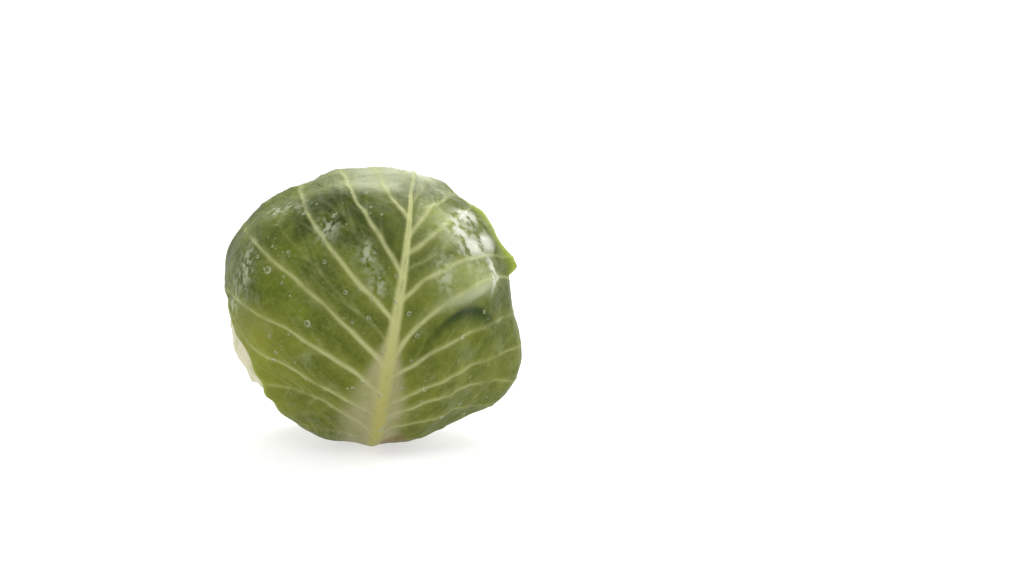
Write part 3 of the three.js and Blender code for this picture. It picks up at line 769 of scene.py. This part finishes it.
def make_leaf(k):
    """A wrapper leaf as a thin closed shell, with its veins and puckers in relief."""
    leaf = LEAVES[k]
    fans = [Fan(k, 1), Fan(k, -1)]
    x, y, s, rows = lay_out(leaf, fans)
    d = direction_of(leaf, x, y)
    on_skin = d * head_surface(d)[:, None]
    crown = ease((d[:, 2] - CROWN_FROM) / CROWN_SPAN)

    rib_off = np.abs(x - midrib_x(leaf, y)) * MM_PER_DEGREE
    rib_width = rib_width_at(leaf, y)
    shoulder = np.cos(np.clip(rib_off / rib_width, 0, 1) * math.pi / 2) ** 1.2
    crest_width = blend(CREST["top"], CREST["base"], ease((CREST["y"] - y) / CREST["length"]))
    rib_shape = blend(shoulder, bell(rib_off / crest_width), CREST["share"])
    rib = leaf["rib_height"] * rib_share(y) * rib_shape
    off_rib = 1 - bell(rib_off / rib_width)

    vein_rise, vein_paint, glow, vein_gap = side_veins(leaf, fans, on_skin)
    vein_rise = vein_rise * blend(1, CROWN_VEINS, crown)
    twig_rise, twig_paint = twigs_on(leaf, fans, 11 + k, on_skin)
    swell, wrinkles = blade_relief(on_skin, d, vein_gap, crown)
    raised = np.maximum(rib, vein_rise) + twig_rise * off_rib + swell + BLADE_LIFT + wrinkles

    turn = np.radians(bearing_of(x, y))
    flutter = leaf["flutter"] * s ** 9 * openness(k, d) * (1 + np.sin(leaf["wave_count"] * 0.6 * turn))
    resting = seat(k, d)
    low = resting + folds(k, x, y, d, resting, rib) + flutter
    thick = blend(BLADE, MARGIN_BLADE, s * s) + np.maximum(raised, 0)
    sides = []
    for r in (low + thick, low):
        p = d * r[:, None]
        p[:, 2] = np.maximum(p[:, 2] + BASE_DROP, FOOT_CLEARANCE)
        sides.append(p)

    # How much the crown is whitened, partly by its dusty bloom and partly as painted sheen; on the front
    # leaf more to the right
    crown_bloom_and_sheen = ease((d[:, 2] - CROWN_BLOOM_AND_SHEEN["from"]) / CROWN_BLOOM_AND_SHEEN["span"])
    if k == 0:
        rightward = ease((x - CROWN_BLOOM_AND_SHEEN["x"]) / CROWN_BLOOM_AND_SHEEN["length"])
        crown_bloom_and_sheen = crown_bloom_and_sheen * blend(CROWN_BLOOM_AND_SHEEN["left"], CROWN_BLOOM_AND_SHEEN["right"], rightward)
    marks = {
        "rib": rib_off / crest_width,
        "vein": np.clip(vein_paint, 0, 1),
        "glow": np.clip(glow, 0, 1),
        "twig": twig_paint * off_rib,
        "rise": y,
        "rim_share": s,
        "crown": crown_bloom_and_sheen,
        "bleached": bleached(k, x, y),
        **patches_of(k, x, y, rib_off),
    }
    # The outer points and then the inner ones
    marks = {mark: np.tile(values, 2) for mark, values in marks.items()}
    name = leaf["name"].replace("_leaf", "_wrapper")
    return new_mesh(name, np.concatenate(sides), shell_faces(rows, len(x)), marks)


# Materials

def opaque(value):
    """A colour with its alpha. A wire or a plain number stays as it is."""
    return (*value, 1.0) if isinstance(value, tuple) else value


class Wire:
    """A socket of a material's nodes that takes part in Python expressions."""

    def __init__(self, sheet, socket):
        self.sheet, self.socket = sheet, socket

    def math(self, operation, *others, clamp=False):
        settings = {"operation": operation, "use_clamp": clamp}
        return self.sheet.node("ShaderNodeMath", settings, [self, *others])

    def __add__(self, other):
        return self.math("ADD", other)

    __radd__ = __add__

    def __sub__(self, other):
        return self.math("SUBTRACT", other)

    def __rsub__(self, other):
        return self.sheet.node("ShaderNodeMath", {"operation": "SUBTRACT"}, [other, self])

    def __mul__(self, other):
        return self.math("MULTIPLY", other)

    __rmul__ = __mul__

    def clamp(self):
        return self.math("ADD", 0.0, clamp=True)

    def step(self, low, high):
        """0 below low and 1 above high, smooth between them."""
        inputs = {"Value": self, "From Min": low, "From Max": high}
        return self.sheet.node("ShaderNodeMapRange", {"interpolation_type": "SMOOTHSTEP"}, inputs)


class Sheet:
    """The nodes of one material."""

    def __init__(self, name):
        self.material = bpy.data.materials.new(name)
        self.material.use_nodes = True
        self.tree = self.material.node_tree
        self.shader = self.tree.nodes["Principled BSDF"]

    def feed(self, socket, value):
        if isinstance(value, Wire):
            self.tree.links.new(value.socket, socket)
        else:
            socket.default_value = value

    def node(self, kind, settings=None, inputs=None, output=0):
        made = self.tree.nodes.new(kind)
        for name, value in (settings or {}).items():
            setattr(made, name, value)
        pairs = inputs.items() if isinstance(inputs, dict) else enumerate(inputs or [])
        for place, value in pairs:
            self.feed(made.inputs[place], value)
        return Wire(self, made.outputs[output])

    def mark(self, name):
        return self.node("ShaderNodeAttribute", {"attribute_name": name}, output="Fac")

    def place(self):
        return self.node("ShaderNodeTexCoord", output="Object")

    def shift(self, vector, by):
        return self.node("ShaderNodeVectorMath", {"operation": "ADD"}, [vector, by])

    def cloud(self, size_mm, detail=3.0, colour=False):
        inputs = {"Vector": self.place(), "Scale": 1 / (size_mm * MM), "Detail": detail}
        return self.node("ShaderNodeTexNoise", {}, inputs, output="Color" if colour else "Fac")

    def cells(self, size_mm, vector):
        inputs = {"Vector": vector, "Scale": 1 / (size_mm * MM)}
        return self.node("ShaderNodeTexVoronoi", {"feature": "DISTANCE_TO_EDGE"}, inputs, output="Distance")

    def mix(self, share, a, b):
        made = self.tree.nodes.new("ShaderNodeMix")
        made.data_type = "RGBA"
        self.feed(made.inputs[0], share)
        for socket, value in ((made.inputs[6], a), (made.inputs[7], b)):
            self.feed(socket, opaque(value))
        return Wire(self, made.outputs[2])

    def bump(self, height, depth_mm, strength=1.0, under=None):
        inputs = {"Height": height, "Distance": depth_mm * MM, "Strength": strength}
        if under:
            inputs["Normal"] = under
        return self.node("ShaderNodeBump", {}, inputs)

    def finish(self, **inputs):
        for name, value in inputs.items():
            self.feed(self.shader.inputs[name.replace("_", " ")], opaque(value))
        return self.material


class LeafSkin(Sheet):
    """The material of a wrapper leaf, whose age runs from 0, fresh and green, to 1, pale."""

    def __init__(self, name, age):
        super().__init__(name)
        self.on = {mark: self.mark(mark) for mark in (*LEAF_MARKS, *PATCHES)}
        pairs = {part: zip(FRESH[part], PALE[part]) for part in FRESH}
        self.tone = {part: tuple(blend(p, q, age) for p, q in pair) for part, pair in pairs.items()}
        self.tone.update(TONES)
        self.low = 1 - self.on["rise"].step(-48, 20)
        self.blotches = self.cloud(11, 5.0).step(0.42, 0.66)
        bend = self.node("ShaderNodeVectorMath", {"operation": "SCALE"},
                         {"Vector": self.cloud(9, colour=True), "Scale": NET_BEND * MM})
        bent = self.shift(self.place(), bend)
        self.net = 1 - self.cells(NET_MM, bent).step(0.0, 0.09)
        self.fine_net = 1 - self.cells(FINE_NET_MM, bent).step(0.0, 0.12)

    def mottled(self, part, share=1.0):
        return self.mix(self.blotches * share, self.tone[part], self.tone[part + "_spot"])

    def lay(self, under, share, part, colour=None):
        return self.mix(share * STRENGTH[part], under, colour or self.tone[part])

    def ground(self):
        """The blade: dark above, olive and yellower below."""
        patches = self.cloud(34, 4.0).step(0.42, 0.60)
        blade = self.mix(patches, self.mottled("dark", 0.5), self.mottled("green", 0.6))
        blade = self.lay(blade, self.low, "olive", self.mottled("olive", 0.7))
        blade = self.lay(blade, self.cloud(2.6, 3.0).step(0.35, 0.75), "speck")
        net = self.net * STRENGTH["net"] + self.fine_net * STRENGTH["fine_net"]
        return self.lay(self.mix(net, blade, self.tone["net"]), self.on["strip"], "strip")

    def bloom_and_sheen(self):
        """How much of a dusty bloom lies in patches, and all over the crown with painted sheen."""
        crown = self.on["crown"]
        dust = self.cloud(15, 6.0).step(0.54, 0.72) * (0.17 + crown * 0.20)
        return ((dust + crown * 0.70) * (1 - self.on["shade"] * 0.7)).clamp()

    def veins(self, blade):
        """The veins in their glow, dimmer in the painted shade laid over the glow, the pale base beside the
        midrib, and the midrib.
        """
        on, tone = self.on, self.tone
        blade = self.lay(blade, on["glow"] * (1 - on["shade"] * 0.4), "glow")
        blade = self.lay(blade, on["shade"], "shade", self.mottled("shade"))
        blade = self.lay(blade, on["twig"], "twig", tone["vein"])
        broken = 0.55 + self.cloud(5.0, 3.0) * 0.5
        blade = self.lay(blade, on["vein"].step(0.0, 1.0) * broken, "vein")
        blade = self.lay(blade, on["base_zone"], "base_zone", self.mottled("base_zone"))
        rib = 1 - on["rib"].step(0.5, 1.9)
        return self.lay(blade, rib, "rib", self.mix(self.low, tone["rib"], tone["low_rib"]))

    def patches(self, blade):
        """The patches of the front leaf, painted shadow, light and sheen among them, the edge of every leaf,
        and where it has lost its green.
        """
        on = self.on
        # Pale patches, part dusty bloom and part painted wet glints
        glint_and_wax_share = on["wax_and_glints"] * self.cloud(3.5, 6.0).step(0.40, 0.60)
        # The top's whitening, part dusty bloom and part painted sheen
        top_bloom_and_sheen_share = on["top_bloom_and_sheen"] * self.cloud(12, 5.0).step(0.32, 0.62)
        rim = on["rim_share"].step(0.965, 0.995)
        # The lip is painted lighter and yellower: painted light caught on and through the turned-up edge
        layers = [(on["hollow"], "hollow"), (on["torn"], "torn"), (on["painted_light"], "painted_light"), (glint_and_wax_share, "wax_and_glints"),
                  (top_bloom_and_sheen_share, "top_bloom_and_sheen"), (on["sheen"], "sheen"), (on["lip"], "lip"), (rim, "rim")]
        for share, part in layers:
            blade = self.lay(blade, share, part)
        lost_green = on["bleached"] * 1.35 - self.cloud(9, 5.0) * 0.55 - on["vein"] * 0.2
        return self.mix(lost_green.clamp(), blade, self.mottled("bleached"))

    def relief(self):
        normal = self.bump(self.net * 0.6 + self.fine_net * 0.4, 0.25, 0.6)
        normal = self.bump(self.cloud(4.5, 4.0), 1.2, 0.6, normal)
        return self.bump(self.cloud(1.6, 4.0), 0.22, 0.5, normal)


def wrapper_skin(name, age):
    """A waxy leaf: a mottled blade, pale raised veins in a soft glow, a fine net and a dusty bloom, with
    painted light and shade over them.
    """
    skin = LeafSkin(name, age)
    bloom_and_sheen = skin.bloom_and_sheen()
    blade = skin.mix(bloom_and_sheen, skin.ground(), skin.tone["bloom_and_sheen"])
    # The glare is painted into the colour as pale wet highlights, and makes the coat glossier there too
    glare = (skin.on["shine"] * skin.cloud(7, 6.0).step(0.40, 0.56) * 1.4).clamp()
    blade = skin.lay(skin.patches(skin.veins(blade)), glare, "glare")
    roughness = 0.46 + bloom_and_sheen * 0.25 - glare * 0.22 - skin.on["lip"] * 0.1 + skin.on["shade"] * 0.3
    return skin.finish(Base_Color=blade, Roughness=roughness, Normal=skin.relief(),
                       Coat_Weight=glare * 0.6 + 0.03, Coat_Roughness=0.16, Specular_IOR_Level=0.08)


def stalk_flesh():
    """The cut stalk: pale woody pith with a browned, drying rim."""
    flesh = Sheet("stalk_flesh")
    radius, height = flesh.mark("radius"), flesh.mark("height")
    grain = flesh.cloud(1.4, 5.0)
    colour = flesh.mix(radius.step(0.45, 0.9), PITH["middle"], PITH["outer"])
    colour = flesh.mix(grain.step(0.4, 0.75) * 0.4, colour, PITH["grain"])
    rim = radius.step(0.86, 0.98) * (1 - height.step(1.5, 4.5))
    colour = flesh.mix(rim * 0.8, colour, PITH["dried"])
    return flesh.finish(Base_Color=colour, Roughness=0.55 + grain * 0.2, Normal=flesh.bump(grain, 0.4, 0.7))


def ring_faces(first, rings, sides, start, end):
    """Faces of a closed form made of rings of points from first on, closed by one point at either end."""
    around = [(n, (n + 1) % sides) for n in range(sides)]
    last = first + (rings - 1) * sides
    faces = [(start, first + after, first + n) for n, after in around]
    for a in range(first, last, sides):
        b = a + sides
        faces += [(a + n, a + after, b + after, b + n) for n, after in around]
    return faces + [(last + n, last + after, end) for n, after in around]


def make_stalk():
    """The stalk and the core above it, turned about its axis, with a rough cut face."""
    sides = STALK_SIDES
    neck = BASE_DROP - float(heart_surface(np.array([0.0, 0.0, -1.0]))) + 2
    outline = [(r, 0.0) for r in np.linspace(0, STALK_RADIUS - 0.8, 14)[1:]]
    outline += [(STALK_RADIUS - 0.25, 0.25), (STALK_RADIUS, 0.8)]
    outline += [(STALK_RADIUS, z) for z in np.linspace(1.6, neck * 0.5, 8)]
    outline += [(STALK_NECK, neck), (blend(STALK_NECK, CORE_RADIUS, 0.6), blend(neck, CORE_TOP, 0.3))]
    outline += [(CORE_RADIUS, blend(neck, CORE_TOP, 0.6)), (CORE_RADIUS * 0.66, blend(neck, CORE_TOP, 0.88))]
    points, radii = [(0, 0, 0.25)], [0]
    for r, z in outline:
        for n in range(sides):
            a = 2 * math.pi * n / sides
            spot = Vector((math.cos(a) * r / 3, math.sin(a) * r / 3, z / 5))
            rough = STALK_ROUGHNESS * noise.noise(spot)
            lift = max(0.0, rough) if z == 0 and r < STALK_RADIUS - 2 else 0.0
            grown = r + (rough if z > 1 else 0)
            points.append((grown * math.cos(a), grown * math.sin(a), z + lift))
            radii.append(r / STALK_RADIUS)
    points.append((0, 0, CORE_TOP))
    radii.append(0)
    faces = ring_faces(1, len(outline), sides, 0, len(points) - 1)
    marks = {"radius": radii, "height": [p[2] for p in points]}
    return new_mesh("cut_stalk", points, faces, marks)


def make_heart():
    """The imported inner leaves, with the edges of the outer ones in relief."""
    rings, sides = 72, 144
    polar = np.linspace(0, math.pi, rings + 1)[1:-1]
    turn = np.arange(sides) * 2 * math.pi / sides
    p, t = np.meshgrid(polar, turn, indexing="ij")
    d = np.stack([np.sin(p) * np.cos(t), np.sin(p) * np.sin(t), np.cos(p)], axis=-1).reshape(-1, 3)
    d = np.concatenate([d, [[0, 0, 1.0]], [[0, 0, -1.0]]])
    relief = np.zeros(len(d))
    for n in range(INNER["leaves"]):
        middle = towards(INNER["first"] + n * INNER["turn"], INNER["rise"])
        past_edge = angle_between(d, middle) - INNER["reach"]
        relief += INNER["step"] * (1 - ease(past_edge / 7))
    r = heart_surface(d) - HEART_INSET + relief
    points = d * r[:, None] + np.array([0, 0, BASE_DROP])
    faces = []
    for i in range(rings - 2):
        for n in range(sides):
            a, b = i * sides + n, i * sides + (n + 1) % sides
            faces.append((a, a + sides, b + sides, b))
    top, bottom = len(d) - 2, len(d) - 1
    low = (rings - 2) * sides
    faces += [(n, (n + 1) % sides, top) for n in range(sides)]
    faces += [(low + (n + 1) % sides, low + n, bottom) for n in range(sides)]
    marks = {"rib": np.full(len(d), OFF_RIB)}
    return new_mesh("packed_heart", points, faces, marks)


def drop_spots(draw):
    """Drops on the front leaf, as x, y and radius. Most lie beside the midrib or left of it."""
    leaf = LEAVES[0]
    spots = list(LARGE_DROPS)
    while len(spots) < DROP_COUNT:
        x, y = draw.uniform(-62, 66), draw.uniform(-66, 62)
        beside_rib = bell((x - midrib_x(leaf, y)) / 16)
        if draw.uniform() < 0.25 + 0.75 * max(beside_rib, bell((x + 25) / 22)):
            spots.append((x, y, 0.5 + 1.0 * draw.uniform() ** 3))
    return spots


def drop_dome(squash):
    """Points of a drop of radius 1, in rings from its foot up, and how near its rim each is."""
    points, rims = [], []
    for ring in range(DROP_RINGS):
        polar = math.pi / 2 * DROP_CURL * (1 - ring / DROP_RINGS)
        for side in range(DROP_SIDES):
            a = 2 * math.pi * side / DROP_SIDES
            out = math.sin(polar)
            points.append(Vector((out * math.cos(a), out * math.sin(a), math.cos(polar) * squash)))
            rims.append(out ** 3)
    points += [Vector((0, 0, squash)), Vector((0, 0, -DROP_DEPTH))]
    return points, rims + [0.0, 1.0]


def make_dew(leaf_piece):
    """Water drops on the front leaf: small flat domes, strewn by a seeded draw, and a few large ones."""
    draw = np.random.default_rng(5)
    tree = BVHTree.FromPolygons([v.co for v in leaf_piece.data.vertices],
                                [p.vertices for p in leaf_piece.data.polygons])
    centre = Vector((0, 0, BASE_DROP * MM))
    points, faces, rims = [], [], []
    for x, y, size in drop_spots(draw):
        way = Vector(direction_of(LEAVES[0], np.array([x]), np.array([y]))[0])
        hit, normal, _, _ = tree.ray_cast(centre + way * RAY_START, -way)
        if hit is None:
            continue
        turn = normal.to_track_quat("Z", "Y")
        dome, dome_rims = drop_dome(draw.uniform(0.45, 0.6))
        first = len(points)
        top = first + DROP_RINGS * DROP_SIDES
        faces += ring_faces(first, DROP_RINGS, DROP_SIDES, top + 1, top)
        points += [(hit + turn @ at * size * MM) / MM for at in dome]
        rims += dome_rims
    dew = new_mesh("dew_drops", points, faces, {"rim": rims})
    water = Sheet("dew_water")
    rim = water.mark("rim")
    # The rims are painted pale: a painted reflection of the bright room round the drops
    colour = water.mix(rim, WATER["clear"], WATER["rim"])
    dew.data.materials.append(water.finish(Base_Color=colour, Roughness=0.05, Alpha=rim * 0.45 + 0.22,
                                           Coat_Weight=1.0, Coat_Roughness=0.03))
    return dew


def make_floor():
    bpy.ops.mesh.primitive_plane_add(size=FLOOR_SIZE, location=(0, 0, 0))
    floor = bpy.context.active_object
    floor.name = "floor"
    paint = Sheet("floor")
    floor.data.materials.append(paint.finish(Base_Color=(0.45, 0.45, 0.45), Roughness=0.9,
                                             Emission_Color=(1, 1, 1), Emission_Strength=0.6))


def make_lights():
    world = bpy.data.worlds.new("studio")
    bpy.context.scene.world = world
    world.use_nodes = True
    background = world.node_tree.nodes["Background"]
    background.inputs["Color"].default_value = (1, 1, 1, 1)
    background.inputs["Strength"].default_value = 1.0
    for name, place, size, watts in LAMPS:
        light = bpy.data.lights.new(name, "AREA")
        light.size = size
        light.energy = watts
        lamp = bpy.data.objects.new(name, light)
        lamp.location = place
        aim = Vector((0, 0, AIM_HEIGHT)) - lamp.location
        lamp.rotation_euler = aim.to_track_quat("-Z", "Y").to_euler()
        bpy.context.scene.collection.objects.link(lamp)
    bpy.context.scene.view_settings.view_transform = "Standard"


def make_camera():
    data = bpy.data.cameras.new("camera")
    data.lens = LENS_MM
    data.sensor_width = SENSOR_MM
    camera = bpy.data.objects.new("camera", data)
    bpy.context.scene.collection.objects.link(camera)
    bpy.context.scene.camera = camera
    rise = math.radians(CAMERA_RISE_DEG)
    centre = Vector((0, 0, BASE_DROP * MM))
    view = Vector((0, math.cos(rise), -math.sin(rise)))
    camera.location = centre - view * CAMERA_DISTANCE
    focal = LENS_MM / SENSOR_MM * PHOTO_WIDTH
    seen = Vector((HEAD_PIXEL[0] - PHOTO_WIDTH / 2, PHOTO_HEIGHT / 2 - HEAD_PIXEL[1], -focal)).normalized()
    camera.rotation_mode = "QUATERNION"
    off_middle = seen.rotation_difference(Vector((0, 0, -1)))
    camera.rotation_quaternion = view.to_track_quat("-Z", "Y") @ off_middle


make_camera()
make_lights()
make_floor()

wrappers = []
for k, leaf in enumerate(LEAVES):
    piece = make_leaf(k)
    wrappers.append(piece)
    piece.data.materials.append(wrapper_skin(f"{leaf['name']}_skin", leaf["age"]))
    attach(piece, "root")
    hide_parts(leaf["name"])
    "leaf_green" if leaf["age"] < 0.5 else "leaf_pale"

dew = make_dew(wrappers[0])
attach(dew, "root")

heart = make_heart()
heart.data.materials.append(wrapper_skin("heart_skin", 1.0))
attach(heart, "root")
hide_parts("heart")

stalk = make_stalk()
stalk.data.materials.append(stalk_flesh())
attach(stalk, "root")
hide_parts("stalk")
